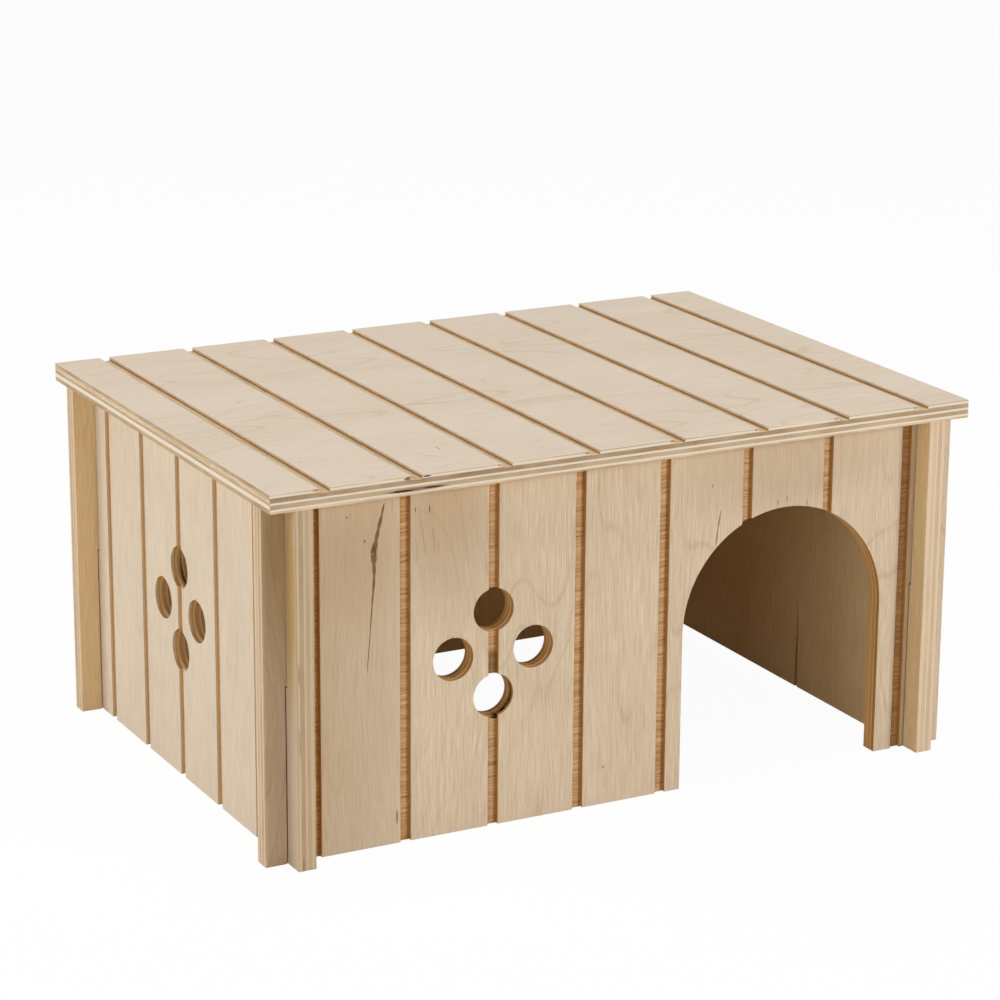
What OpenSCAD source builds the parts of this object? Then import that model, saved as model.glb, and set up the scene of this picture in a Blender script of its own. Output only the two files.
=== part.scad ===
// Small plywood house for a rabbit: four walls that cross and lock at the corners, and a lift-off roof.
// Origin: centre of the footprint on the floor. +X to the right, +Y to the back, +Z up.

/* [House] */
// Width of the roof, left to right
roof_w = 330; // [260:1:420]
// Depth of the roof, front to back
roof_d = 236; // [190:1:320]
// Height of the four walls
wall_h = 152; // [136:1:220]
// Thickness of the wall boards
wall_t = 8; // [6:0.5:12]
// Thickness of the roof board
roof_t = 8; // [6:0.5:12]
// How far the roof reaches past the ends of the walls
roof_overhang = 1; // [0:0.5:12]

/* [Corner joints] */
// How far each wall runs on past the wall that it crosses
stub = 10; // [5:0.5:20]
// Play on each side of a wall in the slot of the other
slot_play = 0.4; // [0.1:0.05:0.8]
// Gap between the closed ends of two crossing slots
slot_end_gap = 0.5; // [0.2:0.1:2]

/* [Grooves] */
// Distance from one groove to the next
groove_pitch = 40.4; // [28:0.2:60]
// Width of a groove
groove_w = 4.6; // [2:0.2:8]
// Depth of a groove
groove_depth = 1.7; // [0.5:0.1:4]
// How far the grooves and vents of a side wall lie behind the middle of that wall
side_shift = 3.5; // [0:0.5:10]
// Least width of wood between the outermost groove and the edge or wall beside it
groove_margin = 1; // [0.5:0.1:6]

/* [Doorway] */
// Width of the doorway
door_w = 100; // [60:1:130]
// Height of the doorway at the top of its arch
door_h = 120; // [70:1:128]
// Width of the post between the doorway and the right wall
door_post = 16; // [8:1:40]

/* [Vents] */
// Diameter of a vent hole
vent_d = 18.4; // [8:0.2:24]
// Distance from the middle of the diamond to the middle of each vent
vent_reach = 18.6; // [15:0.2:28]

/* [Roof battens] */
// Width of a batten, front to back
batten_w = 10; // [8:1:24]
// Height of a batten
batten_h = 10; // [6:1:20]
// Play between a batten and the walls round it
batten_play = 0.5; // [0.2:0.1:0.9]
// Number of brads in each batten
brads_per_batten = 4; // [2:1:8]
// Diameter of a brad's shank
brad_d = 1.6; // [1.2:0.1:2.4]
// Diameter of a brad's head
brad_head_d = 3.4; // [2.6:0.1:5]
// Thickness of a brad's head
brad_head_t = 1; // [0.6:0.1:2]
// How far a brad reaches into the roof
brad_bite = 3; // [1:0.5:3.5]

/* [Hidden] */
$fn = 96;

// How far a cutting tool runs past the face that it cuts
past = 1;
// Room round a brad in its pilot hole
pilot_play = 0.02;

// Lengths of the wall boards
front_l = roof_w - 2 * roof_overhang;
side_l = roof_d - 2 * roof_overhang;
// Distance from the middle of the house to the outer and inner faces of its walls
side_outer = front_l / 2 - stub;
side_inner = side_outer - wall_t;
front_outer = side_l / 2 - stub;
front_inner = front_outer - wall_t;

// Slots: half the height of the wall each, and wide enough for the other wall
slot_w = wall_t + 2 * slot_play;
front_slot_top = (wall_h + slot_end_gap) / 2;
side_slot_bottom = (wall_h - slot_end_gap) / 2;

// Places of the grooves: a board's middle lies on the centre line of front, back and roof,
// and a groove lies in the middle of each side wall's pattern
groove_room = groove_w / 2 + groove_margin;
front_pairs = floor((side_inner - groove_room) / groove_pitch + 0.5);
side_pairs = floor((front_inner - groove_room - side_shift) / groove_pitch);
roof_pairs = floor((roof_w / 2 - groove_room) / groove_pitch + 0.5);
front_grooves = between_boards(front_pairs);
side_grooves = [for (i = [-side_pairs : side_pairs]) i * groove_pitch];
roof_grooves = between_boards(roof_pairs);

// The vents sit at half height, round the second groove left of the middle of the front
vent_z = wall_h / 2;
front_vent_x = -1.5 * groove_pitch;

door_x = side_inner - door_post - door_w / 2;

batten_l = 2 * (side_inner - batten_play);
batten_y = front_inner - batten_play - batten_w / 2;
brad_spacing = batten_l / brads_per_batten;
brad_xs = [for (i = [0 : brads_per_batten - 1]) (i + 0.5) * brad_spacing - batten_l / 2];

function between_boards(pairs) = [for (i = [-pairs : pairs - 1]) (i + 0.5) * groove_pitch];

// A wall lying along X with its outer face on the plane y = 0 and its inner face behind it
module wall_board(length) {
    translate([-length / 2, 0, 0])
        cube([length, wall_t, wall_h]);
}

// Upright grooves in a wall's outer face
module wall_grooves(places) {
    for (x = places)
        translate([x - groove_w / 2, -past, -past])
            cube([groove_w, groove_depth + past, wall_h + 2 * past]);
}

// A pair of slots that take the crossing walls, with their middles at -x and x
module slot_pair(x, bottom, top) {
    for (side = [-1, 1])
        translate([side * x - slot_w / 2, -past, bottom])
            cube([slot_w, wall_t + 2 * past, top - bottom]);
}

// Four round vents in a diamond
module vents(x) {
    for (angle = [0 : 90 : 270])
        translate([x, 0, vent_z])
            rotate([0, angle, 0])
                translate([vent_reach, -past, 0])
                    rotate([-90, 0, 0])
                        cylinder(d = vent_d, h = wall_t + 2 * past);
}

// Doorway with straight sides and a round arch
module doorway() {
    spring = door_h - door_w / 2;
    translate([door_x - door_w / 2, -past, -past])
        cube([door_w, wall_t + 2 * past, spring + past]);
    translate([door_x, -past, spring])
        rotate([-90, 0, 0])
            cylinder(d = door_w, h = wall_t + 2 * past);
}

// Front or back wall: its slots are open at the bottom, so it drops over the side walls
module cross_wall() {
    difference() {
        wall_board(front_l);
        wall_grooves(front_grooves);
        slot_pair(side_inner + wall_t / 2, -past, front_slot_top);
    }
}

// Side wall: its slots are open at the top, and its grooves are laid out round x = middle
module side_wall(middle) {
    difference() {
        wall_board(side_l);
        wall_grooves([for (x = side_grooves) x + middle]);
        slot_pair(front_inner + wall_t / 2, side_slot_bottom, wall_h + past);
    }
}

module front_panel() {
    color("burlywood")
        translate([0, -front_outer, 0])
            difference() {
                cross_wall();
                doorway();
                vents(front_vent_x);
            }
}

module back_panel() {
    color("burlywood")
        rotate([0, 0, 180])
            translate([0, -front_outer, 0])
                cross_wall();
}

module left_panel() {
    color("wheat")
        rotate([0, 0, -90])
            translate([0, -side_outer, 0])
                difference() {
                    side_wall(-side_shift);
                    vents(-side_shift);
                }
}

module right_panel() {
    color("wheat")
        rotate([0, 0, 90])
            translate([0, -side_outer, 0])
                side_wall(side_shift);
}

// Shanks and heads of one batten's brads
// For the pilot holes, play widens them and below lengthens their heads
module brad_row(play, below) {
    for (x = brad_xs)
        translate([x, 0, wall_h - batten_h]) {
            cylinder(d = brad_d + 2 * play, h = batten_h + brad_bite + play);
            translate([0, 0, -below])
                cylinder(d = brad_head_d + 2 * play, h = below + brad_head_t + play);
        }
}

module both_brad_rows(play, below) {
    for (side = [-1, 1])
        translate([0, side * batten_y, 0])
            brad_row(play, below);
}

// Roof board, grooved on top from front to back and resting on the four walls
module roof_panel() {
    color("antiquewhite")
        difference() {
            translate([-roof_w / 2, -roof_d / 2, wall_h])
                cube([roof_w, roof_d, roof_t]);
            for (x = roof_grooves)
                translate([x - groove_w / 2, -roof_d / 2 - past, wall_h + roof_t - groove_depth])
                    cube([groove_w, roof_d + 2 * past, groove_depth + past]);
            both_brad_rows(pilot_play, past);
        }
}

// Strip under the roof that lies just inside a wall and keeps the roof in place
module batten(side) {
    color("tan")
        translate([0, side * batten_y, 0])
            difference() {
                translate([-batten_l / 2, -batten_w / 2, wall_h - batten_h])
                    cube([batten_l, batten_w, batten_h]);
                brad_row(pilot_play, past);
            }
}

module front_batten() {
    batten(-1);
}

module back_batten() {
    batten(1);
}

module batten_brads() {
    color("silver")
        both_brad_rows(0, 0);
}

front_panel();
back_panel();
left_panel();
right_panel();
roof_panel();
front_batten();
back_batten();
batten_brads();
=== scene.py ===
import math
import random
from dataclasses import dataclass

import bmesh
import bpy
from mathutils import Matrix, Vector


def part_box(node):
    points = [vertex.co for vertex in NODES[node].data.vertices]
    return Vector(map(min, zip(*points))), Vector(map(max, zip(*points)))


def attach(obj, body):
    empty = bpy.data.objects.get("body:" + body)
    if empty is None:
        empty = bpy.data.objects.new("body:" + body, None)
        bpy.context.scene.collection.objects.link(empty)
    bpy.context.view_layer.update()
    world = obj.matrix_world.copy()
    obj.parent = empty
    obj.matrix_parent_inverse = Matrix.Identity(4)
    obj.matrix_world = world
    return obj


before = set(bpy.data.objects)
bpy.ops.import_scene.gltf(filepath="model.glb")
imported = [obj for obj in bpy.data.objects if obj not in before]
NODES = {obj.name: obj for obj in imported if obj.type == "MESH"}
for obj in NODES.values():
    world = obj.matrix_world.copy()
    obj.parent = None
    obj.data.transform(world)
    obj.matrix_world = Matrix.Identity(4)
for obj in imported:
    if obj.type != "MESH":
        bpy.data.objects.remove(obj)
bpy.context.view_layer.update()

# Lengths are in millimetres wherever a name says no other unit, as in the solids
MM = 0.001
GROOVE_W = 4.6
GROOVE_DEPTH = 1.7
GROOVE_PITCH = 40.4
GROOVES = tuple((place + 0.5) * GROOVE_PITCH for place in range(-4, 4))
SIDE_SHIFT = 3.5

# Plywood: depths of the glue lines under the outer face, how sharp they are, how far they wander and over
# what length, and how far the noise of one ply lies from that of the next
PLY_EDGES = (1.5, 3.4, 4.35, 6.1)
PLY_BLUR = 0.06
PLY_WANDER = 0.22
WANDER_LENGTH = 45.0
LAYER_STEP = 17.0
# Depths between which the outer plies are palest
PALE_BANDS = ((0.5, 1.45), (6.15, 7.0))


def srgb(red, green, blue):
    """A colour written from 0 to 255, as linear values."""
    def linear(value):
        share = value / 255
        return share / 12.92 if share <= 0.04045 else ((share + 0.055) / 1.055) ** 2.4
    return (linear(red), linear(green), linear(blue), 1.0)


class Graph:
    """The node tree of one material. Inputs are numbers, tuples or the outputs of other nodes."""

    def __init__(self, name):
        self.material = bpy.data.materials.new(name)
        self.material.use_nodes = True
        self.tree = self.material.node_tree
        self.tree.nodes.clear()

    def node(self, kind, inputs=(), **settings):
        made = self.tree.nodes.new(kind)
        for key, value in settings.items():
            setattr(made, key, value)
        for key, value in dict(inputs).items():
            if isinstance(value, bpy.types.NodeSocket):
                self.tree.links.new(value, made.inputs[key])
            else:
                made.inputs[key].default_value = value
        return made

    def math(self, operation, *values):
        return self.node("ShaderNodeMath", enumerate(values), operation=operation).outputs[0]

    def add(self, first, *others):
        for other in others:
            first = self.math("ADD", first, other)
        return first

    def times(self, first, *others):
        for other in others:
            first = self.math("MULTIPLY", first, other)
        return first

    def most(self, first, *others):
        for other in others:
            first = self.math("MAXIMUM", first, other)
        return first

    def centred(self, value, reach):
        """A 0 to 1 pattern as a swing of half of reach to either side of 0."""
        return self.math("MULTIPLY_ADD", value, reach, -reach / 2)

    def step(self, value, low, high):
        """0 below low, 1 above high and smooth between them; low may be the higher of the two."""
        inputs = {"Value": value, "From Min": low, "From Max": high}
        made = self.node("ShaderNodeMapRange", inputs, interpolation_type="SMOOTHSTEP")
        return made.outputs[0]

    def vector(self, x, y, z):
        return self.node("ShaderNodeCombineXYZ", enumerate((x, y, z))).outputs[0]

    def dot(self, vector, direction):
        inputs = {0: vector, 1: direction}
        return self.node("ShaderNodeVectorMath", inputs, operation="DOT_PRODUCT").outputs["Value"]

    def along(self, *directions):
        """How far along each direction the shaded point lies, in its object's own frame."""
        place = self.node("ShaderNodeTexCoord").outputs["Object"]
        return [self.dot(place, direction / MM) for direction in directions]

    def noise(self, vector, detail=2.0, roughness=0.5):
        inputs = {"Vector": vector, "Scale": 1.0, "Detail": detail, "Roughness": roughness}
        return self.node("ShaderNodeTexNoise", inputs).outputs[0]

    def mix(self, share, first, second):
        return self.node("ShaderNodeMix", {0: share, 2: first, 3: second}).outputs[0]

    def blend(self, share, first, second, mode="MIX"):
        inputs = {0: share, 6: first, 7: second}
        made = self.node("ShaderNodeMix", inputs, data_type="RGBA", blend_type=mode)
        return made.outputs[2]

    def bump(self, height, distance, strength):
        inputs = {"Height": height, "Distance": distance, "Strength": strength}
        return self.node("ShaderNodeBump", inputs).outputs[0]

    def surface(self, inputs):
        shader = self.node("ShaderNodeBsdfPrincipled", inputs).outputs[0]
        self.node("ShaderNodeOutputMaterial", {"Surface": shader})
        return self.material


AXES = {"X": Vector((1, 0, 0)), "Y": Vector((0, 1, 0)), "Z": Vector((0, 0, 1))}


def axis(name):
    """The direction that a name such as -Y stands for."""
    return AXES[name[1]] * (-1 if name[0] == "-" else 1)


class Board:
    """A plywood board: u runs across its grooves, v along them and d from its outer face inwards.

    Its outer plies' fibres run along grain, which is u or v, and a groove has its middle at u = groove.
    """

    def __init__(self, node, body, u, v, d, grain, groove, seed):
        self.node = node
        self.body = body
        self.u, self.v, self.d = axis(u), axis(v), axis(d)
        self.grain = grain
        self.groove = groove
        self.seed = seed
        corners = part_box(node)
        self.u_range = self.reach(corners, self.u)
        self.v_range = self.reach(corners, self.v)
        self.outer, inner = self.reach(corners, self.d)
        self.thickness = inner - self.outer

    @staticmethod
    def reach(corners, direction):
        """Where the board starts and ends along a direction."""
        return sorted(corner.dot(direction) / MM for corner in corners)

    def point(self, u, v, d):
        return (self.u * u + self.v * v + self.d * (d + self.outer)) * MM

    def places(self, graph):
        """u, v and d of the shaded point."""
        u, v, d = graph.along(self.u, self.v, self.d)
        return u, v, graph.add(d, -self.outer)

    def facing(self, graph):
        """How squarely the surface faces along u, v and d, from 0 to 1."""
        normal = graph.node("ShaderNodeNewGeometry").outputs["Normal"]
        local = graph.node(
            "ShaderNodeVectorTransform", {0: normal},
            vector_type="NORMAL", convert_from="WORLD", convert_to="OBJECT",
        ).outputs[0]
        return [graph.math("ABSOLUTE", graph.dot(local, way)) for way in (self.u, self.v, self.d)]


BOARDS = {
    board.node: board for board in (
        Board("front_panel", "front_wall", "+X", "+Z", "+Y", "v", GROOVE_PITCH / 2, 3.0),
        Board("back_panel", "back_wall", "-X", "+Z", "-Y", "v", GROOVE_PITCH / 2, 41.0),
        Board("left_panel", "side_walls", "-Y", "+Z", "+X", "v", -SIDE_SHIFT, 83.0),
        Board("right_panel", "side_walls", "+Y", "+Z", "-X", "v", SIDE_SHIFT, 127.0),
        Board("roof_panel", "roof", "+X", "+Y", "-Z", "u", GROOVE_PITCH / 2, 171.0),
    )
}

# Colours of the wood, and of the shade painted on it
EDGE_CREAM = srgb(229, 210, 183)
EDGE_TAN = srgb(195, 169, 136)
EDGE_MEAN = srgb(214, 190, 160)
EDGE_PINK = srgb(230, 207, 180)
EDGE_DULL = srgb(190, 166, 135)
CORE_WHITE = srgb(236, 226, 210)
CORE_CREAM = srgb(229, 210, 183)
END_PALE = srgb(204, 181, 153)
END_DARK = srgb(150, 124, 95)
SEAM = srgb(150, 120, 86)
GLUE = srgb(104, 70, 34)
CROSS_PALE = srgb(238, 218, 188)
CROSS_DARK = srgb(210, 182, 144)
GROOVE_PALE = srgb(224, 184, 138)
GROOVE_DARK = srgb(174, 129, 80)
ROUTED = srgb(252, 230, 188)
OPENED = srgb(222, 163, 95)
OPENED_PALE = srgb(250, 206, 142)
OPENED_DULL = srgb(205, 163, 108)
# Router burn on the walls of openings; in grooves, on walls and along floors by them, partly painted shade
BURN_AND_SHADE = srgb(208, 186, 138)
# Painted shade where the walls of grooves meet their floors
PAINTED_FOOT_SHADE = srgb(216, 204, 176)
# Inner faces: a warmer veneer, partly painted warm shade of the inside
INNER_PALE = srgb(237, 212, 168)
INNER_TAN = srgb(210, 180, 133)
KNOT = srgb(104, 70, 34)
STAIN = srgb(114, 80, 38)
YELLOWED = srgb(186, 152, 86)
TANNED = srgb(193, 161, 125)
# Painted warm shade on the back wall's left stub
STUB_SHADE_TAN = srgb(228, 192, 146)
# Painted shade on the front's left stub and in the grooves beside both stubs
PAINTED_SHADE_BROWN = srgb(164, 112, 54)
# Painted shade on faces that get less light: the front's left boards and top, and the left wall's front
# stub
PAINTED_SHADE_DULL = srgb(184, 162, 132)
OLIVE = srgb(153, 121, 51)
SCORCHED = srgb(78, 48, 12)
# Painted shade inside voids, gaps between plies and the right wall's crack
VOID_SHADE = srgb(36, 22, 9)
STRIP_PALE = srgb(228, 200, 156)
STRIP_TAN = srgb(184, 136, 84)
FIBRE_PALE = srgb(238, 220, 190)
FIBRE_TAN = srgb(206, 172, 128)
# Colours of the brads and of the floor
WIRE_BRIGHT = srgb(186, 186, 184)
WIRE_DULL = srgb(150, 148, 142)
WHITE = (1, 1, 1, 1)


@dataclass
class Tint:
    """Marks of one colour and its share in them. A mark fades from inner to outer, 1 being its own rim.

    A mark is an oval: its middle (u, v, d), its half lengths along u, v and d, and its turn in degrees.
    """
    colour: tuple
    share: float
    marks: tuple
    outer: float = 1.08
    inner: float = 0.72


@dataclass
class Look:
    """What sets one board's wood apart.

    pale and tan are its face colours, and fibres and figure the strength of its grain. groove says how
    scorched its grooves' floors are and how far burn and painted shade darken their walls, and painted
    shade the floors next to the walls; foot says how far painted shade darkens them where wall and floor
    meet. edge says how clearly the plies show in its sawn edges, and core and edge_mean are the palest and
    the mean colour there.
    opened is the colour of the walls of its openings, and shine its specular level.
    """
    pale: tuple
    tan: tuple
    fibres: float = 1.0
    figure: float = 0.5
    groove: float = 1.0
    edge: float = 1.0
    core: tuple = CORE_CREAM
    edge_mean: tuple = EDGE_MEAN
    opened: tuple = OPENED
    foot: float = 0.0
    shine: float = 0.3
    tints: tuple = ()


# How deep a mark on a surface reaches
MARK_DEPTH = 0.9


def face_mark(u, v, half_u, half_v, turn=0.0):
    """A mark on the outer face."""
    return (u, v, 0.0, half_u, half_v, MARK_DEPTH, turn)


def floor_mark(u, v, half_u, half_v, turn=0.0):
    """A mark on a groove's floor."""
    return (u, v, GROOVE_DEPTH, half_u, half_v, MARK_DEPTH, turn)


@dataclass
class Grain:
    """Noise stretched along the fibres: its width, length and thickness in millimetres, and its detail."""
    wide: float
    long: float
    deep: float = 0.0
    detail: float = 2.0
    roughness: float = 0.5


# Patterns in the wood, how far the sway bends its fibres, and how many rings its figure has
SWAY = Grain(26, 90, detail=1.0)
FINE = Grain(0.38, 15, 0.4, roughness=0.6)
COARSE = Grain(1.2, 55, 1.0, roughness=0.55)
CLOUD = Grain(38, 100)
PATCH = Grain(16, 46, 6.0)
FLECK = Grain(0.34, 3.6, 0.34, detail=1.0)
RINGS = Grain(46, 190, detail=1.3)
FIGURE = Grain(50, 120, detail=1.0)
SWAY_REACH = 12.0
RING_COUNT = 15.0

# Tone of a face, 0 being pale and 1 dark: its mean, and how much each pattern adds to it
FACE_MEAN = 0.42
FACE_FINE = 1.8
FACE_COARSE = 0.7
FACE_CLOUD = 0.6
FACE_LINE = 0.3
FACE_FLECK = 0.45
# Tones of other wood: a mean, and the swings of the fine and coarse fibres and the patches
CROSS_TONE = (0.42, 2.8, 1.6, 0.5)
LONG_TONE = (0.4, 2.3, 1.4, 0.8)
END_SWINGS = (1.1, 0.0, 1.4)

# Distances from a glue line between which it fades out: in sawn edges and in the walls of openings
SEAM_FADE = (0.16, 0.05)
GLUE_FADE = (0.4, 0.12)
# Distance from a board's end within which an edge is a sawn one and not a routed one
SAWN_FADE = (0.3, 0.6)
# Shares of the colours in the walls of openings
OPENED_SHARE = 0.65
PALE_PLY_SHARE = 0.7
GLUE_SHARE = 0.5
OUTER_PLY_SHARE = 0.4

WOOD_ROUGHNESS = 0.74
RELIEF = 0.13 * MM
RELIEF_STRENGTH = 0.6


class Plywood:
    """The wood of one board: five crossed plies, which show as faces, groove floors or cut edges."""

    def __init__(self, board, look):
        self.board = board
        self.look = look
        self.g = Graph(board.node + "_plywood")
        self.u, self.v, self.d = board.places(self.g)
        self.place = self.g.vector(self.u, self.v, self.d)
        self.facing_u, self.facing_v, self.facing_d = board.facing(self.g)
        self.lay_plies()
        self.find_cuts()
        self.run_grain()
        self.face = self.face_wood()

    def lay_plies(self):
        """Depth in the wandering plies, the ply counted from the outer face, and 1 in cross plies."""
        g = self.g
        wave = 1 / WANDER_LENGTH
        sheet = g.vector(g.times(self.u, wave), g.times(self.v, wave), self.board.seed)
        self.depth = g.add(self.d, g.centred(g.noise(sheet), PLY_WANDER))
        self.layer = g.add(*(g.step(self.depth, edge - PLY_BLUR, edge + PLY_BLUR) for edge in PLY_EDGES))
        self.cross = g.math("PINGPONG", self.layer, 1.0)

    def find_cuts(self):
        """1 on a cut edge, on one that a router made, on a groove's wall and on an opening's wall."""
        g = self.g
        self.edge = g.step(self.facing_d, 0.8, 0.4)
        self.flat = g.math("SUBTRACT", 1.0, self.edge)
        self.routed = self.edge
        near, far = SAWN_FADE
        for place, (low, high) in ((self.u, self.board.u_range), (self.v, self.board.v_range)):
            from_low = g.step(place, low + near, low + far)
            from_high = g.step(place, high - near, high - far)
            self.routed = g.times(self.routed, from_low, from_high)
        self.groove_wall = g.times(
            self.routed,
            g.step(self.d, GROOVE_DEPTH + 0.3, GROOVE_DEPTH),
            g.step(self.d, 0.1, 0.4),
            g.step(self.facing_u, 0.6, 0.9),
        )
        self.opening = g.math("SUBTRACT", self.routed, self.groove_wall)

    def run_grain(self):
        """Patterns along the fibres, which turn by 90 degrees from ply to ply; end is 1 on end grain."""
        g = self.g
        ways = [(self.v, self.facing_v), (self.u, self.facing_u)]
        if self.board.grain == "u":
            ways.reverse()
        (long, facing_long), (wide, facing_wide) = ways
        self.along = g.mix(self.cross, long, wide)
        self.across = g.mix(self.cross, wide, long)
        self.end = g.step(g.mix(self.cross, facing_long, facing_wide), 0.5, 0.9)
        self.ply = g.math("MULTIPLY_ADD", self.layer, LAYER_STEP, self.board.seed)
        swayed = g.add(self.across, g.centred(self.pattern(SWAY), SWAY_REACH))
        self.fine = self.pattern(FINE, swayed)
        self.coarse = self.pattern(COARSE, swayed)
        self.fleck = g.step(self.pattern(FLECK, swayed), 0.68, 0.78)
        self.patch = self.pattern(PATCH)

    def pattern(self, grain, across=None):
        """A grain's noise, from 0 to 1."""
        g = self.g
        across = self.across if across is None else across
        deep = g.add(self.ply, g.times(self.depth, 1 / grain.deep)) if grain.deep else self.ply
        place = g.vector(g.times(across, 1 / grain.wide), g.times(self.along, 1 / grain.long), deep)
        return g.noise(place, grain.detail, grain.roughness)

    def tone(self, mean, fine, coarse, patch):
        """A tone from its mean and the swings of three patterns."""
        g = self.g
        fibres = g.add(g.centred(self.fine, fine), g.centred(self.coarse, coarse))
        return g.add(mean, fibres, g.centred(self.patch, patch))

    def face_wood(self):
        """The outer plies' faces, with the thin lines of the figure."""
        g, look = self.g, self.look
        rings = g.math("PINGPONG", g.times(self.pattern(RINGS), RING_COUNT), 0.5)
        shown = g.step(self.pattern(FIGURE), 0.40, 0.60)
        line = g.times(g.step(g.add(rings, g.centred(self.coarse, 0.1)), 0.1, 0.0), shown)
        tone = g.add(
            FACE_MEAN,
            g.centred(self.fine, FACE_FINE * look.fibres),
            g.centred(self.coarse, FACE_COARSE * look.fibres),
            g.centred(self.pattern(CLOUD), FACE_CLOUD),
            g.times(line, FACE_LINE * look.figure),
            g.times(self.fleck, FACE_FLECK * look.fibres),
        )
        # Inner faces take warmer colours, partly as painted warm shade of the inside
        inner = g.step(self.d, self.board.thickness - 1.0, self.board.thickness - 0.5)
        inner_wood = g.blend(tone, INNER_PALE, INNER_TAN)
        return g.blend(inner, g.blend(tone, look.pale, look.tan), inner_wood)

    def flat_wood(self):
        """Faces, and cross plies on the floors of grooves."""
        g = self.g
        tone = self.tone(*CROSS_TONE)
        plain = g.blend(tone, CROSS_PALE, CROSS_DARK)
        scorched = g.blend(tone, GROOVE_PALE, GROOVE_DARK)
        return g.blend(self.cross, self.face, g.blend(self.look.groove, plain, scorched))

    def band(self, low, high):
        """1 between two depths."""
        g = self.g
        return g.times(g.step(self.depth, low - 0.1, low + 0.1), g.step(self.depth, high + 0.1, high - 0.1))

    def cut_wood(self):
        """Cut edges: pale plies that are cut along their fibres, and dull ones that are cut across."""
        g, look = self.g, self.look
        core = g.times(g.step(self.layer, 1.4, 1.9), g.step(self.layer, 3.6, 3.1))
        pale = g.most(core, *(self.band(*limits) for limits in PALE_BANDS))
        long_cut = g.blend(pale, g.blend(self.tone(*LONG_TONE), EDGE_CREAM, EDGE_TAN), look.core)
        end_mean = g.mix(self.cross, 0.3, g.math("MULTIPLY_ADD", self.layer, -0.2, 0.75))
        end_cut = g.blend(self.tone(end_mean, *END_SWINGS), END_PALE, END_DARK)
        plies = g.blend(self.end, long_cut, end_cut)
        return g.blend(g.most(look.edge, self.opening), look.edge_mean, plies)

    def at_glue(self, places, fade):
        """1 on some of the glue lines."""
        g = self.g
        gaps = [g.math("ABSOLUTE", g.add(self.depth, -place)) for place in places]
        return g.most(*(g.step(gap, *fade) for gap in gaps))

    def seamed(self, cut):
        """Cut edges with pale and dark glue lines and dark rims, each along some stretches only."""
        g, thickness = self.g, self.board.thickness
        outer_lines = self.at_glue((PLY_EDGES[0], PLY_EDGES[-1]), SEAM_FADE)
        cut = g.blend(g.times(outer_lines, g.step(self.patch, 0.6, 0.4), 0.6), cut, self.look.core)
        all_lines = self.at_glue(PLY_EDGES, SEAM_FADE)
        cut = g.blend(g.times(all_lines, g.step(self.patch, 0.45, 0.65), 0.5), cut, SEAM)
        rim = g.most(g.step(self.d, 0.45, 0.15), g.step(self.d, thickness - 0.4, thickness - 0.1))
        return g.blend(g.times(rim, g.step(self.patch, 0.38, 0.6), 0.6), cut, SEAM)

    def opened(self, wood):
        """Adds the walls of vents, doorway and slots."""
        g = self.g
        wood = g.blend(self.routed, wood, ROUTED, "MULTIPLY")
        plies = g.blend(g.times(self.cross, PALE_PLY_SHARE), self.look.opened, OPENED_PALE)
        wood = g.blend(g.times(self.opening, OPENED_SHARE), wood, plies)
        lines = self.at_glue(PLY_EDGES, GLUE_FADE)
        wood = g.blend(g.times(self.opening, lines, GLUE_SHARE), wood, GLUE)
        outer_ply = g.step(self.d, PLY_EDGES[0], PLY_EDGES[0] - 0.5)
        return g.blend(g.times(self.opening, outer_ply, OUTER_PLY_SHARE), wood, BURN_AND_SHADE, "MULTIPLY")

    def grooved(self, wood):
        """Adds the grooves, clean or scorched: walls darken partly as burn and partly as painted shade,
        and painted shade darkens the floors next to the walls and where walls and floors meet.
        """
        g, scorch_and_shade = self.g, self.look.groove
        lip = g.step(self.d, GROOVE_DEPTH * 0.8, GROOVE_DEPTH * 0.2)
        wood = g.blend(g.times(self.groove_wall, lip, 0.9 - 0.9 * scorch_and_shade), wood, self.face)
        # Walls darken, partly as burn and partly as painted shade
        wood = g.blend(g.times(self.groove_wall, scorch_and_shade), wood, BURN_AND_SHADE, "MULTIPLY")
        # Painted shade along the floor next to each wall
        from_middle = g.math("PINGPONG", g.add(self.u, -self.board.groove), GROOVE_PITCH / 2)
        near_wall = g.step(from_middle, GROOVE_W / 2 - 1.3, GROOVE_W / 2 - 0.4)
        corner = g.times(self.cross, self.flat, near_wall)
        wood = g.blend(g.times(corner, 0.7 * scorch_and_shade), wood, BURN_AND_SHADE, "MULTIPLY")
        # Painted shade where walls and floors meet
        low_wall = g.times(self.groove_wall, g.step(self.d, GROOVE_DEPTH * 0.3, GROOVE_DEPTH * 0.7))
        foot = g.most(low_wall, g.times(corner, 0.5))
        return g.blend(g.times(foot, self.look.foot), wood, PAINTED_FOOT_SHADE, "MULTIPLY")

    def inside(self, tint):
        """1 inside any of a tint's marks, with ragged rims."""
        g = self.g
        shares = [0.0]
        for mark in tint.marks:
            inputs = {"Vector": self.place, "Location": mark[:3], "Scale": mark[3:6]}
            inputs["Rotation"] = (0, 0, math.radians(mark[6]))
            local = g.node("ShaderNodeMapping", inputs, vector_type="TEXTURE").outputs[0]
            gap = g.node("ShaderNodeVectorMath", {0: local}, operation="LENGTH").outputs["Value"]
            shares.append(g.step(g.add(gap, g.centred(self.fine, 0.5)), tint.outer, tint.inner))
        return g.most(*shares)

    def marked(self, wood):
        """Adds knots and stains, and painted shade on shaded faces, in voids and in the crack."""
        g = self.g
        for tint in self.look.tints:
            wood = g.blend(g.times(self.inside(tint), tint.share), wood, tint.colour)
        return wood

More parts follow.
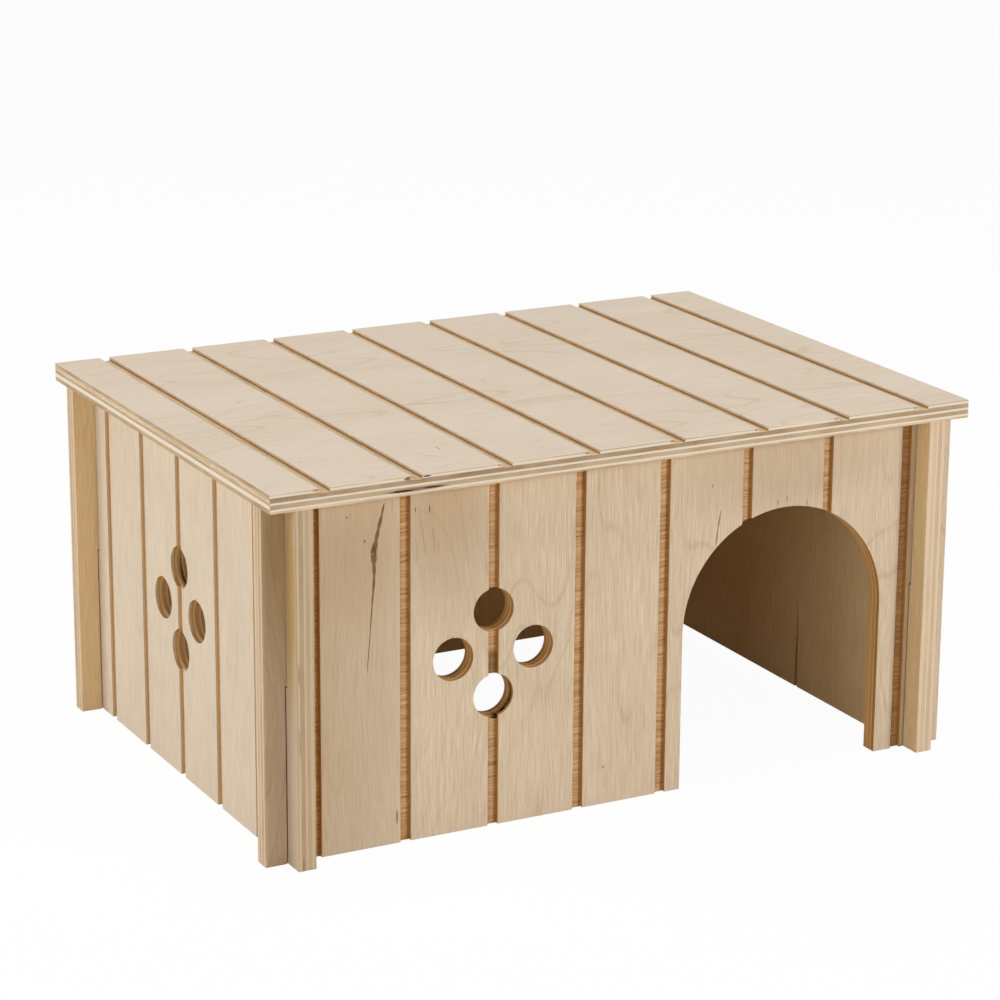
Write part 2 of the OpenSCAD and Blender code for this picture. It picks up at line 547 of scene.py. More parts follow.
    def material(self):
        """The whole board's material."""
        g = self.g
        wood = g.blend(self.edge, self.flat_wood(), self.seamed(self.cut_wood()))
        wood = self.marked(self.grooved(self.opened(wood)))
        light = g.dot(wood, (1 / 3, 1 / 3, 1 / 3))
        floor = g.times(self.cross, self.flat)
        torn_floor = g.times(floor, self.fine, 1.5)
        height = g.add(self.fine, g.times(self.coarse, 0.6), g.times(self.fleck, -0.8), torn_floor)
        uneven = g.centred(self.fine, 0.12)
        rough = g.add(WOOD_ROUGHNESS, uneven, g.times(self.edge, 0.1), g.times(floor, 0.12))
        return g.surface({
            "Base Color": wood,
            "Roughness": rough,
            "Specular IOR Level": g.times(g.step(light, 0.02, 0.12), self.look.shine),
            "Normal": g.bump(height, RELIEF, RELIEF_STRENGTH),
        })


# Strip wood: waves per millimetre along and across its growth bands and its fibres, and the bands' count
STRIP_BANDS = (1 / 160, 1 / 3.2)
STRIP_FIBRES = (1 / 22, 2.6)
BAND_COUNT = 7.0
STRIP_ROUGHNESS = 0.58
STRIP_RELIEF = 0.1 * MM
# Wire: waves per millimetre across and along its scratches
WIRE_SCRATCHES = (9.0, 0.6)
WIRE_ROUGHNESS = 0.3
WIRE_RELIEF = 0.03 * MM
FIBRE_ROUGHNESS = 0.7


def softwood(name, seed):
    """Planed strip wood with its grain along X."""
    g = Graph(name)
    x, y, z = g.along(*AXES.values())

    def stretched(along, across):
        return g.vector(g.times(x, along), g.times(y, across), g.add(seed, g.times(z, across)))

    bands = g.noise(stretched(*STRIP_BANDS))
    fibre = g.noise(stretched(*STRIP_FIBRES), 3.0, 0.6)
    late = g.math("POWER", g.math("FRACT", g.times(bands, BAND_COUNT)), 3.0)
    tone = g.add(0.2, g.times(late, 0.55), g.centred(fibre, 0.5))
    return g.surface({
        "Base Color": g.blend(tone, STRIP_PALE, STRIP_TAN),
        "Roughness": g.add(STRIP_ROUGHNESS, g.centred(fibre, 0.12)),
        "Specular IOR Level": 0.3,
        "Normal": g.bump(g.add(fibre, g.times(late, -0.5)), STRIP_RELIEF, 0.5),
    })


def bright_wire(name):
    """Drawn steel with fine scratches and dull patches."""
    g = Graph(name)
    x, y, z = g.along(*AXES.values())
    across, along = WIRE_SCRATCHES
    scratch = g.noise(g.vector(g.times(x, across), g.times(y, across), g.times(z, along)), 3.0, 0.6)
    patch = g.noise(g.vector(x, y, z))
    return g.surface({
        "Base Color": g.blend(patch, WIRE_BRIGHT, WIRE_DULL),
        "Metallic": 1.0,
        "Roughness": g.add(WIRE_ROUGHNESS, g.centred(scratch, 0.2), g.centred(patch, 0.1)),
        "Normal": g.bump(scratch, WIRE_RELIEF, 0.4),
    })


def torn_fibre(name):
    """Pale loose wood fibre."""
    g = Graph(name)
    speck = g.noise(g.vector(*g.along(*AXES.values())))
    return g.surface({
        "Base Color": g.blend(speck, FIBRE_PALE, FIBRE_TAN),
        "Roughness": g.add(FIBRE_ROUGHNESS, g.centred(speck, 0.2)),
        "Specular IOR Level": 0.25,
    })


# Half length of a streak's mark, as a share of the distance between the points that it joins
STREAK_HALF = 0.72


def streak(points):
    """Marks that join up to a line, through points (u, v, half width) on the outer face."""
    marks = []
    for (u, v, half), (next_u, next_v, next_half) in zip(points, points[1:]):
        across, rise = next_u - u, next_v - v
        reach = math.hypot(across, rise) * STREAK_HALF
        turn = math.degrees(math.atan2(-across, rise))
        marks.append(face_mark((u + next_u) / 2, (v + next_v) / 2, (half + next_half) / 2, reach, turn))
    return tuple(marks)


# Marks on the boards, placed as the photograph shows them
FRONT_KNOTS = (face_mark(-115.2, 127.4, 1.5, 2.4, -8),)
KNOT_HEART = (face_mark(-115.4, 126.3, 0.55, 0.6),)
FRONT_SPECKS = (
    face_mark(-119.1, 132.1, 0.5, 0.6),
    face_mark(-126.9, 143.0, 0.35, 0.6),
    face_mark(-90.1, 141.8, 0.32, 1.9),
    face_mark(-7.9, 16.7, 0.4, 0.6),
    face_mark(43.2, 134.0, 0.25, 1.0),
    floor_mark(138.9, 144.8, 2.3, 0.42, 18),
)
FRONT_SCORCHED = ((-58.6, 56.2, 2.3, 10.2, 10.2, 1.8, 0),)
# Painted shade in the hollow below the lowest vent and in its open ply
FRONT_VOID_SHADE = (
    floor_mark(-59.2, 47.6, 1.9, 1.2),
    (-55.6, 50.0, 2.2, 1.6, 1.6, 0.9, 0),
)
LONG_STREAK = (
    (-110.5, 146.2, 0.3), (-111.6, 141.6, 0.8), (-113.0, 136.4, 1.0), (-114.1, 131.3, 0.9),
    (-115.0, 127.3, 1.9), (-115.0, 122.3, 1.0), (-114.9, 117.4, 0.8), (-115.4, 110.4, 0.55),
    (-115.9, 105.3, 0.4), (-116.7, 94.4, 0.28), (-118.1, 78.5, 0.2),
)
FINE_LINES = (
    ((-94.0, 137.2, 0.25), (-92.9, 130.3, 0.3), (-91.9, 123.1, 0.3)),
    ((-88.6, 133.5, 0.25), (-88.2, 128.0, 0.35), (-87.8, 123.1, 0.3)),
    ((-86.3, 127.0, 0.25), (-86.1, 123.0, 0.3)),
    ((-96.7, 130.4, 0.2), (-95.8, 126.1, 0.25), (-95.5, 121.0, 0.2)),
)
SPLIT = ((47.5, 122.6, 0.15), (47.2, 121.2, 0.35), (46.2, 114.8, 0.55), (45.4, 108.4, 0.35))
FRONT_STAINS = (
    face_mark(-105.0, 11.6, 0.5, 3.5),
    face_mark(-96.5, 142.2, 0.35, 1.2),
    face_mark(75.7, 122.6, 0.25, 1.5),
    face_mark(80.4, 123.5, 0.25, 2.2),
    face_mark(90.6, 120.6, 0.25, 1.6),
    floor_mark(-60.6, 69.5, 4.5, 8.0),
) + streak(SPLIT)
FRONT_STREAK = streak(LONG_STREAK)
FRONT_FAINT = tuple(mark for points in FINE_LINES for mark in streak(points))
# Tan round the knot and the fine lines, and painted shade on the strip beside the right wall's stub
FRONT_TAN_AND_SHADE = (
    face_mark(-122.0, 126.0, 22.0, 34.0),
    face_mark(-84.0, 138.0, 18.0, 22.0),
    # Painted shade beside the right wall's stub
    face_mark(145.0, 76.0, 2.4, 110.0),
)
# Painted shade: the front's left boards and parts of its top are darker
FRONT_DULL_SHADE = (
    face_mark(-121.5, 80.0, 26.0, 110.0),
    face_mark(-81.0, 130.0, 24.0, 40.0),
    face_mark(80.0, 139.0, 60.0, 22.0),
)
FRONT_OLIVE = (face_mark(-158.5, 150.0, 12.0, 72.0),)
# Painted shade on the front of the left stub, which the left wall's stub shades, and in the grooves beside
# both stubs
FRONT_BROWN_SHADE = (
    face_mark(-158.5, 76.0, 9.0, 120.0),
    floor_mark(-141.4, 76.0, 4.0, 120.0),
    floor_mark(141.4, 76.0, 4.0, 120.0),
)
# Painted warm shade on the back wall's left stub
BACK_STUB_SHADE = ((159.0, 76.0, 8.0, 9.0, 120.0, 2.0, 0),)
# Painted shade on the left wall's front stub, in the corner by the front's stub
LEFT_DULL_SHADE = (face_mark(112.0, 60.0, 7.0, 130.0),)
LEFT_YELLOWED = (face_mark(111.5, 118.0, 6.5, 55.0),)
LEFT_STAINS = (
    (117.0, 84.0, 1.05, 1.0, 5.0, 0.3, 0),
    (117.0, 55.0, 1.2, 1.0, 7.0, 0.25, 0),
    (117.0, 2.0, 2.3, 1.0, 4.0, 0.3, 0),
    (106.2, 34.0, 0.0, 0.7, 44.0, 1.5, 0),
)
# Painted shade in an open ply of the left wall's top vent
LEFT_VOID_SHADE = ((-5.1, 92.7, 4.6, 9.2, 9.2, 1.2, 0),)
# Painted shade in the right wall's crack
RIGHT_CRACK_SHADE = ((-18.3, 15.0, 6.4, 1.3, 36.0, 1.6, 0),)
# Painted shade in voids and gaps of the roof's front edge
ROOF_VOID_SHADE = (
    (-105.4, -116.5, 1.1, 1.8, 2.2, 0.6, 0),
    (-96.8, -116.5, 0.8, 2.4, 2.2, 0.5, 0),
    (-107.0, -117.8, 5.8, 5.0, 1.4, 0.4, 0),
    (-94.0, -117.8, 5.6, 4.5, 1.4, 0.35, 0),
)
ROOF_STAINS_AND_SHADE = (
    face_mark(-119.1, 17.9, 1.9, 0.4),
    face_mark(-75.6, -85.8, 0.3, 3.0, -4),
    # Painted shade over the row of gaps in the front edge's plies
    (-101.0, -117.8, 5.7, 15.0, 1.4, 0.95, 0),
)
ROOF_TANNED = (
    face_mark(-148.0, -25.3, 1.1, 0.5),
    face_mark(-134.6, -79.6, 1.3, 0.5),
    face_mark(-131.2, 28.2, 1.3, 0.5),
    face_mark(-50.7, -68.0, 0.8, 0.5),
    face_mark(-50.9, -87.1, 0.4, 1.3),
    face_mark(-33.4, -94.1, 0.7, 0.5),
)

FRONT_TINTS = (
    Tint(PAINTED_SHADE_DULL, 0.4, FRONT_DULL_SHADE, 1.2, 0.4),
    Tint(TANNED, 0.4, FRONT_TAN_AND_SHADE, 1.3, 0.2),
    Tint(PAINTED_SHADE_BROWN, 0.3, FRONT_BROWN_SHADE),
    Tint(OLIVE, 0.5, FRONT_OLIVE, 1.2, 0.1),
    Tint(STAIN, 0.3, FRONT_FAINT),
    Tint(STAIN, 0.7, FRONT_STAINS),
    Tint(STAIN, 0.88, FRONT_STREAK),
    Tint(KNOT, 0.7, FRONT_KNOTS),
    Tint(STAIN, 0.8, FRONT_SPECKS),
    Tint(TANNED, 0.5, KNOT_HEART),
    Tint(SCORCHED, 0.85, FRONT_SCORCHED),
    Tint(VOID_SHADE, 0.95, FRONT_VOID_SHADE),
)
LEFT_TINTS = (
    Tint(PAINTED_SHADE_DULL, 0.5, LEFT_DULL_SHADE),
    Tint(YELLOWED, 0.75, LEFT_YELLOWED, 1.2, 0.4),
    Tint(STAIN, 0.6, LEFT_STAINS),
    Tint(VOID_SHADE, 0.9, LEFT_VOID_SHADE),
)
ROOF_TINTS = (
    Tint(TANNED, 0.6, ROOF_TANNED),
    Tint(STAIN, 0.6, ROOF_STAINS_AND_SHADE),
    Tint(VOID_SHADE, 0.85, ROOF_VOID_SHADE),
)
LOOKS = {
    "front_panel": Look(
        pale=srgb(228, 212, 190), tan=srgb(199, 177, 150), fibres=1.2, figure=1.3, edge=0.6,
        tints=FRONT_TINTS,
    ),
    "back_panel": Look(
        pale=srgb(229, 211, 185), tan=srgb(201, 176, 145), figure=0.7, groove=0.9, edge=0.6,
        tints=(Tint(STUB_SHADE_TAN, 0.15, BACK_STUB_SHADE, 1.3, 0.2),),
    ),
    "left_panel": Look(
        pale=srgb(230, 218, 200), tan=srgb(206, 188, 165), figure=0.4, groove=0.15, edge=0.45,
        edge_mean=EDGE_DULL, opened=OPENED_DULL, tints=LEFT_TINTS,
    ),
    "right_panel": Look(
        pale=srgb(231, 217, 194), tan=srgb(208, 188, 160), fibres=0.9, figure=0.6, groove=0.8, edge=0.4,
        edge_mean=EDGE_PINK, tints=(Tint(VOID_SHADE, 0.85, RIGHT_CRACK_SHADE),),
    ),
    "roof_panel": Look(
        pale=srgb(237, 225, 210), tan=srgb(213, 193, 169), fibres=0.65, figure=1.2, groove=0.05,
        core=CORE_WHITE, foot=0.9, shine=0.18, tints=ROOF_TINTS,
    ),
}

# Widths of the eased edges, and angles in degrees: up to the first, triangles join into one face,
# and from the second on, an edge is eased
BOARD_EASE = 0.28
STRIP_EASE = 0.5
FLAT_ANGLE = 0.5
EASED_ANGLE = 40
EASE_SEGMENTS = 2
WELD_REACH = 0.01


def dress(node, material):
    """Gives a solid one material."""
    slots = NODES[node].data.materials
    slots.clear()
    slots.append(material)


def soften(node, width):
    """Joins a solid's triangles into whole faces and eases the edges between them."""
    weld = NODES[node].modifiers.new("weld", "WELD")
    weld.merge_threshold = WELD_REACH * MM
    whole = NODES[node].modifiers.new("whole_faces", "DECIMATE")
    whole.decimate_type = "DISSOLVE"
    whole.angle_limit = math.radians(FLAT_ANGLE)
    bevel = NODES[node].modifiers.new("eased_edges", "BEVEL")
    bevel.width = width * MM
    bevel.segments = EASE_SEGMENTS
    bevel.limit_method = "ANGLE"
    bevel.angle_limit = math.radians(EASED_ANGLE)
    bevel.use_clamp_overlap = False
    bevel.loop_slide = False


for name, board in BOARDS.items():
    dress(name, Plywood(board, LOOKS[name]).material())
dress("front_batten", softwood("front_batten_pine", 5.0))
dress("back_batten", softwood("back_batten_pine", 9.0))
dress("batten_brads", bright_wire("brad_wire"))

for name in BOARDS:
    soften(name, BOARD_EASE)
for strip in ("front_batten", "back_batten"):
    soften(strip, STRIP_EASE)


def on_circle(u, v, radius, degrees):
    """A place on a circle round (u, v)."""
    angle = math.radians(degrees)
    return u + radius * math.cos(angle), v + radius * math.sin(angle)


def linked(name, mesh):
    """An object made of a finished mesh, in the scene."""
    bmesh.ops.recalc_face_normals(mesh, faces=mesh.faces)
    data = bpy.data.meshes.new(name)
    mesh.to_mesh(data)
    mesh.free()
    made = bpy.data.objects.new(name, data)
    bpy.context.scene.collection.objects.link(made)
    return made


# How ragged a hollow is, and the ranges of half sizes of chips along grooves and round openings
RAGGED = (0.75, 1.2)
CHIP_WIDE = (0.15, 0.45)
CHIP_LONG = (0.5, 2.2)
CHIP_DEEP = (0.2, 0.4)
RIM_CHIP_SIZE = (0.2, 0.4)
RIM_CHIP_LONG = (0.5, 1.4)
# Where in its own stretch of an edge a chip may lie, and how far from a groove's ends chips stop
CHIP_STRETCH = (0.2, 0.8)
CHIP_END_GAP = 4.0
# Half sizes of the hollows that make up the gap between two plies, and the angle between them
PLY_GAP_HALF = (1.1, 1.1, 0.4)
PLY_GAP_STEP = 9


class Carver:
    """Small ragged hollows that are cut out of one board, as chips, voids and tear-out."""

    def __init__(self, board):
        self.board = board
        self.mesh = bmesh.new()
        self.random = random.Random(int(board.seed))

    def hollow(self, u, v, d, half_u, half_v, half_d):
        """One hollow with its middle at (u, v, d)."""
        made = bmesh.ops.create_icosphere(self.mesh, subdivisions=1, radius=1.0)
        for corner in made["verts"]:
            x, y, z = corner.co * self.random.uniform(*RAGGED)
            corner.co = self.board.point(u + x * half_u, v + y * half_v, d + z * half_d)

    def groove_edges(self, grooves, count):
        """Chips along both upper edges of each groove."""
        low, high = self.board.v_range
        span = (high - low - 2 * CHIP_END_GAP) / count
        for middle in grooves:
            for side in (-1, 1):
                u = middle + side * GROOVE_W / 2
                for place in range(count):
                    v = low + CHIP_END_GAP + (place + self.random.uniform(*CHIP_STRETCH)) * span
                    half = [self.random.uniform(*limits) for limits in (CHIP_WIDE, CHIP_LONG, CHIP_DEEP)]
                    self.hollow(u, v, 0.0, *half)

    def round_rim(self, u, v, radius, start, end, count):
        """Chips along part of a round opening's outer rim, between two angles in degrees."""
        for place in range(count):
            share = (place + self.random.uniform(*CHIP_STRETCH)) / count
            middle = on_circle(u, v, radius, start + (end - start) * share)
            size = self.random.uniform(*RIM_CHIP_SIZE)
            self.hollow(*middle, 0.0, size, self.random.uniform(*RIM_CHIP_LONG), size)

    def open_ply(self, u, v, radius, start, end, d):
        """A gap between two plies along part of a round opening's wall, between two angles in degrees."""
        for degrees in range(start, end, PLY_GAP_STEP):
            self.hollow(*on_circle(u, v, radius, degrees), d, *PLY_GAP_HALF)

    def split(self, points, shallow, deep):
        """A crack between two depths, through points (u, v, half width)."""
        rings = []
        for u, v, half in points:
            corners = ((u - half, shallow), (u + half, shallow), (u + half, deep), (u - half, deep))
            rings.append([self.mesh.verts.new(self.board.point(place, v, d)) for place, d in corners])
        for ring, following in zip(rings, rings[1:]):
            for turn in range(4):
                after = (turn + 1) % 4
                self.mesh.faces.new((ring[turn], ring[after], following[after], following[turn]))
        self.mesh.faces.new(rings[0])
        self.mesh.faces.new(rings[-1])

    def cut(self):
        """Cuts the hollows out of the board, with a hidden tool that rides along."""
        tool = linked(self.board.node + "_hollows", self.mesh)
        tool.hide_render = True
        tool.display_type = "WIRE"
        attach(tool, self.board.body)
        cut = NODES[self.board.node].modifiers.new("hollows", "BOOLEAN")
        cut.operation = "DIFFERENCE"
        cut.solver = "MANIFOLD"
        cut.object = tool


class Fibres:
    """Thin splinters that stand out of one board where a cutter tore the wood."""

    def __init__(self, board):
        self.board = board
        self.mesh = bmesh.new()
        self.random = random.Random(int(board.seed) + 1)

    def splinter(self, root, tip, half):
        """A three-sided sliver from a blunt root to a sharp tip, both given as (u, v, d)."""
        root, tip = (self.board.point(*place) for place in (root, tip))
        way = (tip - root).normalized()
        side = way.orthogonal().normalized()
        other = way.cross(side)
        ring = []
        for turn in range(3):
            angle = math.tau * turn / 3
            offset = (side * math.cos(angle) + other * math.sin(angle)) * half * MM
            ring.append(self.mesh.verts.new(root + offset))
        point = self.mesh.verts.new(tip)
        self.mesh.faces.new(ring)
        for turn in range(3):
            self.mesh.faces.new((ring[turn], point, ring[(turn + 1) % 3]))

    def grow(self, name, material):
        """Adds the splinters to the board."""
        made = linked(name, self.mesh)
        made.data.materials.append(material)
        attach(made, self.board.body)


# Vents, the doorway's arch (u and v of its middle, and its radius) and the middles of a side wall's grooves
VENT_R = 9.2
VENT_REACH = 18.6
VENT_Z = 76.0
FRONT_VENT_U = -60.6
ARCH = (80.0, 70.0, 50.0)
SIDE_GROOVES = tuple(place * GROOVE_PITCH for place in range(-2, 3))

# Chips: how many along each edge of a groove, and how many along each vent and the arch, between two angles
ROOF_CHIPS = 9
WALL_CHIPS = 7
VENT_CHIPS = 3
ARCH_CHIPS = 14
RIM_ANGLES = (20, 160)

# Front edge of the roof: broken lips of grooves, with their splinters
LIP_OFFSET = 1.4
LIP_DEPTH = 0.55
LIP_WIDE = (1.2, 2.2)
LIP_REACH = 0.7
LIP_DEEP = (0.5, 0.8)
LIP_SPLINTERS = 4
SPLINTER_START = (0.2, 3.0)
SPLINTER_DEPTH = (0.35, 1.3)
SPLINTER_SETBACK = (0.25, 0.6)
SPLINTER_LENGTH = (1.2, 2.8)
SPLINTER_TIP = 0.2
SPLINTER_DROP = (-0.2, 0.4)
SPLINTER_HALF = (0.1, 0.2)
# Front edge of the roof: voids in its plies as (u, d) and half sizes, a row of small gaps, and chips
EDGE_VOIDS = (((-105.4, 1.15), (1.6, 2.4, 0.42)), ((-96.8, 0.85), (2.2, 2.2, 0.36)))
GAP_START = -113.0
GAP_STEP = 3.2
GAP_COUNT = 8
GAP_DEPTH = 5.7
GAP_WIDE = 2.2
GAP_REACH = (0.15, 0.35)
GAP_DEEP = (0.2, 0.4)
EDGE_CHIPS = (-39.0, -36.6, -34.4, -32.5, -30.2, -27.8, -25.9)
EDGE_CHIP_DEPTH = 0.1
EDGE_CHIP_WIDE = (0.4, 0.8)
EDGE_CHIP_REACH = 0.45
EDGE_CHIP_DEEP = 0.35

# Lowest vent of the front: the angles and depth of a gap between two plies, and a hollow below it
OPEN_PLY_ANGLES = (-78, 40)
OPEN_PLY_DEPTH = 2.4
TORN_PLACE = (1.2, -VENT_R - 0.4, 2.2)
TORN_HALF = (1.5, 1.0, 1.3)
# Right panel: a crack that runs up from the floor, as (u, v, half width), and the depth where it starts
RIGHT_CRACK = ((-18.4, -1.0, 1.0), (-18.15, 13.0, 0.7), (-18.4, 28.0, 0.42), (-18.1, 45.0, 0.1))
CRACK_DEPTH = 5.0

# Fuzz along the grooves: fibres per edge, their places and sizes, and how far from openings they stop
FUZZ_COUNT = 14
FUZZ_END_GAPS = (3, 6)
FUZZ_DEPTH = (0.1, 1.2)
FUZZ_ROOT = 0.1
FUZZ_LENGTH = (0.3, 1.0)
FUZZ_RISE = (-0.6, 1.2)
FUZZ_DROP = (-0.1, 0.3)
FUZZ_HALF = (0.05, 0.1)
RIM_GAP = 2.0


def vent_middles(u):
    """Middles of the four vents round a place on the board's middle height."""
    offsets = ((-VENT_REACH, 0), (VENT_REACH, 0), (0, -VENT_REACH), (0, VENT_REACH))
    return [(u + across, VENT_Z + rise) for across, rise in offsets]


def break_lip(carver, fibres, lip):
    """A broken lip at the front end of a roof groove, with splinters left in it."""
    pick = carver.random
    front = carver.board.v_range[0]
    half = (pick.uniform(*LIP_WIDE), LIP_REACH, pick.uniform(*LIP_DEEP))
    carver.hollow(lip - LIP_OFFSET, front, LIP_DEPTH, *half)
    for _ in range(LIP_SPLINTERS):
        u = lip - pick.uniform(*SPLINTER_START)
        d = pick.uniform(*SPLINTER_DEPTH)
        v = front + pick.uniform(*SPLINTER_SETBACK)
        tip_u = u + pick.uniform(*SPLINTER_LENGTH)
        tip_d = d + pick.uniform(*SPLINTER_DROP)
        fibres.splinter((u, v, d), (tip_u, front + SPLINTER_TIP, tip_d), pick.uniform(*SPLINTER_HALF))


def wear_roof():
    """Chipped grooves, broken lips at their front ends and voids in the front edge's plies."""
    board = BOARDS["roof_panel"]
    front = board.v_range[0]
    carver = Carver(board)
    carver.groove_edges(GROOVES, ROOF_CHIPS)
    fibres = Fibres(board)
    pick = carver.random
    for middle in GROOVES:
        break_lip(carver, fibres, middle - GROOVE_W / 2)
    for (u, d), half in EDGE_VOIDS:
        carver.hollow(u, front, d, *half)
    for place in range(GAP_COUNT):
        half = (GAP_WIDE, pick.uniform(*GAP_REACH), pick.uniform(*GAP_DEEP))
        carver.hollow(GAP_START + place * GAP_STEP, front, GAP_DEPTH, *half)
    for u in EDGE_CHIPS:
        half = (pick.uniform(*EDGE_CHIP_WIDE), EDGE_CHIP_REACH, EDGE_CHIP_DEEP)
        carver.hollow(u, front, EDGE_CHIP_DEPTH, *half)
    carver.cut()
    fibres.grow("roof_splinters", torn_fibre("torn_roof_fibre"))


def in_round(u, v, middle_u, middle_v, radius):
    """Whether a place lies in a round opening or close to its rim."""
    return math.hypot(u - middle_u, v - middle_v) < radius + RIM_GAP


def in_doorway(u, v):
    """Whether a place lies in the doorway or close to its rim."""
    middle_u, spring, radius = ARCH
    return in_round(u, v, *ARCH) or (v < spring and abs(u - middle_u) < radius + RIM_GAP)


def fuzz(board, fibres, grooves, vents, doorway):
    """Short fibres that lean from both edges of each groove into it, where the board isn't cut away."""
    low = board.v_range[0] + FUZZ_END_GAPS[0]
    high = board.v_range[1] - FUZZ_END_GAPS[1]
    pick = fibres.random
    edge = GROOVE_W / 2
    for middle, side in ((middle, side) for middle in grooves for side in (-1, 1)):
        for _ in range(FUZZ_COUNT):
            v = pick.uniform(low, high)
            d = pick.uniform(*FUZZ_DEPTH)
            if doorway and in_doorway(middle, v):
                continue
            if any(in_round(middle, v, *place, VENT_R) for place in vents):
                continue
            root = (middle + side * (edge + FUZZ_ROOT), v, d)
            tip_u = middle + side * (edge - pick.uniform(*FUZZ_LENGTH))
            tip_v = v + pick.uniform(*FUZZ_RISE)
            tip_d = d + pick.uniform(*FUZZ_DROP)
            fibres.splinter(root, (tip_u, tip_v, tip_d), pick.uniform(*FUZZ_HALF))


def wear_wall(name, grooves, vent_u=None):
    """Chipped edges and torn fibres along a wall's grooves and round its openings."""
    board = BOARDS[name]
    vents = [] if vent_u is None else vent_middles(vent_u)
    carver = Carver(board)
    carver.groove_edges(grooves, WALL_CHIPS)
    for u, v in vents:
        carver.round_rim(u, v, VENT_R, *RIM_ANGLES, VENT_CHIPS)
    if name == "front_panel":
        low_vent = (vent_u, VENT_Z - VENT_REACH)
        carver.round_rim(*ARCH, *RIM_ANGLES, ARCH_CHIPS)
        carver.open_ply(*low_vent, VENT_R, *OPEN_PLY_ANGLES, OPEN_PLY_DEPTH)
        across, rise, depth = TORN_PLACE
        carver.hollow(low_vent[0] + across, low_vent[1] + rise, depth, *TORN_HALF)
    if name == "right_panel":
        carver.split(RIGHT_CRACK, CRACK_DEPTH, board.thickness + 1)
    carver.cut()
    fibres = Fibres(board)
    fuzz(board, fibres, grooves, vents, name == "front_panel")
    fibres.grow(name + "_fibres", torn_fibre("torn_" + name))


wear_roof()
wear_wall("front_panel", GROOVES, FRONT_VENT_U)
wear_wall("back_panel", GROOVES)
wear_wall("left_panel", [place - SIDE_SHIFT for place in SIDE_GROOVES], -SIDE_SHIFT)
wear_wall("right_panel", [place + SIDE_SHIFT for place in SIDE_GROOVES])


# Camera at the photograph's viewing angle, in degrees and millimetres
CAMERA_LENS = 119.497
CAMERA_AZIMUTH = -27.877
CAMERA_ELEVATION = 16.419
CAMERA_ROLL = 0.38
CAMERA_OFFSET = (1.183, -24.356, 1482.948)
CAMERA_AIM = Vector((0, 0, 80))
CAMERA_SENSOR = 36
# Nearest and farthest distance that the camera sees, in metres
CAMERA_CLIP = (0.05, 50)


def way_to(azimuth, elevation):
    """The direction from the house to a place, with angles in degrees and azimuth 0 at the front."""
    a, e = math.radians(azimuth), math.radians(elevation)
    return Vector((math.sin(a) * math.cos(e), -math.cos(a) * math.cos(e), math.sin(e)))


def place_camera():
    azimuth = math.radians(CAMERA_AZIMUTH)
    back = way_to(CAMERA_AZIMUTH, CAMERA_ELEVATION)
    turn = Matrix.Rotation(math.radians(CAMERA_ROLL), 3, back)
    right = turn @ Vector((math.cos(azimuth), math.sin(azimuth), 0))
    up = back.cross(right)
    across, rise, away = CAMERA_OFFSET
    eye = (CAMERA_AIM - across * right - rise * up + away * back) * MM
    data = bpy.data.cameras.new("camera")
    data.lens = CAMERA_LENS
    data.sensor_width = CAMERA_SENSOR
    data.clip_start, data.clip_end = CAMERA_CLIP
    camera = bpy.data.objects.new("camera", data)
    axes = Matrix((right, up, back)).transposed()
    camera.matrix_world = Matrix.Translation(eye) @ axes.to_4x4()
    bpy.context.scene.collection.objects.link(camera)
    bpy.context.scene.camera = camera


# Lamps: azimuth and elevation in degrees, distance and size in metres, and power in watts
LAMPS = {
    "key_lamp": (40, 15, 1.8, 0.36, 13.3),
    "fill_lamp": (-58, 6, 1.6, 1.2, 8.4),
    "left_lamp": (-118, 18, 1.6, 1.0, 9.2),
    "top_lamp": (0, 86, 1.7, 1.2, 14.2),
}


def soft_lamp(name, azimuth, elevation, distance, size, power):
    """A square lamp that looks at the middle of the house."""
    way = way_to(azimuth, elevation)
    data = bpy.data.lights.new(name, "AREA")
    data.size = size
    data.energy = power
    lamp = bpy.data.objects.new(name, data)
    lamp.location = CAMERA_AIM * MM + way * distance
    lamp.rotation_euler = way.to_track_quat("Z", "Y").to_euler()
    bpy.context.scene.collection.objects.link(lamp)


def seen_directly(tree):
    """1 where the camera, a reflection or a see-through thing looks, and 0 for other light."""
    path = tree.nodes.new("ShaderNodeLightPath")
    total = path.outputs["Is Camera Ray"]
    for name in ("Is Glossy Ray", "Is Transmission Ray"):
        both = tree.nodes.new("ShaderNodeMath")
        both.operation = "MAXIMUM"
        tree.links.new(total, both.inputs[0])
        tree.links.new(path.outputs[name], both.inputs[1])
        total = both.outputs[0]
    return total


# Light from all round
AMBIENT_TONE = (0.2, 0.18, 0.15, 1)
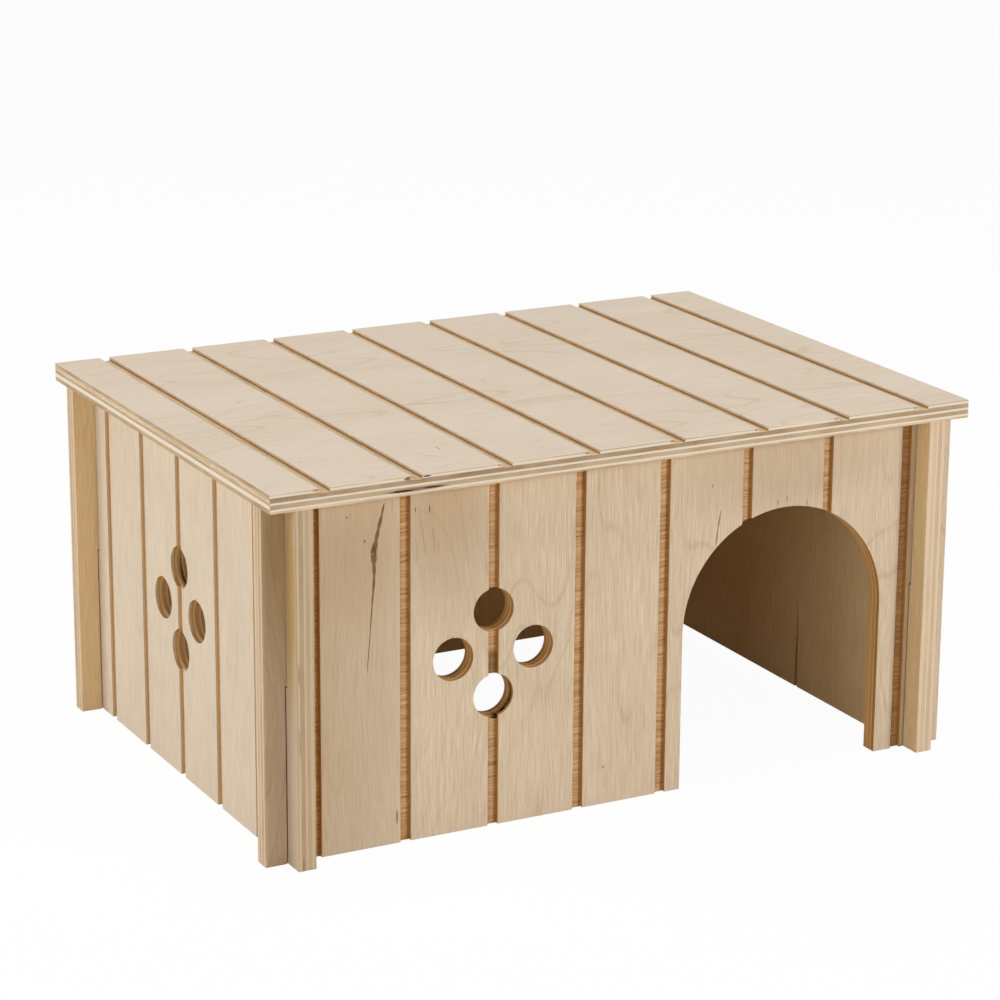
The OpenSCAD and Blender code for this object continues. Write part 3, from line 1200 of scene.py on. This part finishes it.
# The floor: how far it reaches in metres, how far it lies below the house, how much of it glows where it is
# seen directly, and its colour in the light that it throws back
FLOOR_REACH = 4.0
FLOOR_DROP = 0.05
FLOOR_GLOW = 0.96
FLOOR_TONE = (0.81, 0.74, 0.63, 1)
# The floor inside the house: its colour in that light, half its width and depth, and how it fades out
SHADED_TONE = (0.96, 0.64, 0.30, 1)
SHADED_HALF = (146.0, 99.0)
SHADED_FADE = 2.0


def light_world():
    world = bpy.data.worlds.new("studio")
    world.use_nodes = True
    tree = world.node_tree
    background = tree.nodes["Background"]
    tone = tree.nodes.new("ShaderNodeMix")
    tone.data_type = "RGBA"
    tone.inputs[6].default_value = AMBIENT_TONE
    tone.inputs[7].default_value = WHITE
    tree.links.new(seen_directly(tree), tone.inputs[0])
    tree.links.new(tone.outputs[2], background.inputs["Color"])
    bpy.context.scene.world = world


def white_floor():
    """A pale floor that the camera sees as nearly white, with a faint shadow left on it."""
    mesh = bpy.data.meshes.new("floor")
    signs = ((-1, -1), (1, -1), (1, 1), (-1, 1))
    corners = [(x * FLOOR_REACH, y * FLOOR_REACH, 0) for x, y in signs]
    mesh.from_pydata(corners, [], [(0, 1, 2, 3)])
    floor = bpy.data.objects.new("floor", mesh)
    floor.location.z = -FLOOR_DROP * MM
    bpy.context.scene.collection.objects.link(floor)
    g = Graph("pale_floor")
    direct = seen_directly(g.tree)
    shaded = 1.0
    for place, half in zip(g.along(AXES["X"], AXES["Y"]), SHADED_HALF):
        away = g.math("ABSOLUTE", place)
        shaded = g.times(g.step(away, half, half - SHADED_FADE), shaded)
    tone = g.blend(direct, g.blend(shaded, FLOOR_TONE, SHADED_TONE), WHITE)
    diffuse = g.node("ShaderNodeBsdfDiffuse", {"Color": tone}).outputs[0]
    glow = g.node("ShaderNodeEmission", {"Color": WHITE, "Strength": 1.0}).outputs[0]
    share = g.times(direct, FLOOR_GLOW)
    both = g.node("ShaderNodeMixShader", {0: share, 1: diffuse, 2: glow}).outputs[0]
    g.node("ShaderNodeOutputMaterial", {"Surface": both})
    mesh.materials.append(g.material)


place_camera()
light_world()
white_floor()
for lamp_name, settings in LAMPS.items():
    soft_lamp(lamp_name, *settings)
bpy.context.scene.view_settings.view_transform = "Standard"
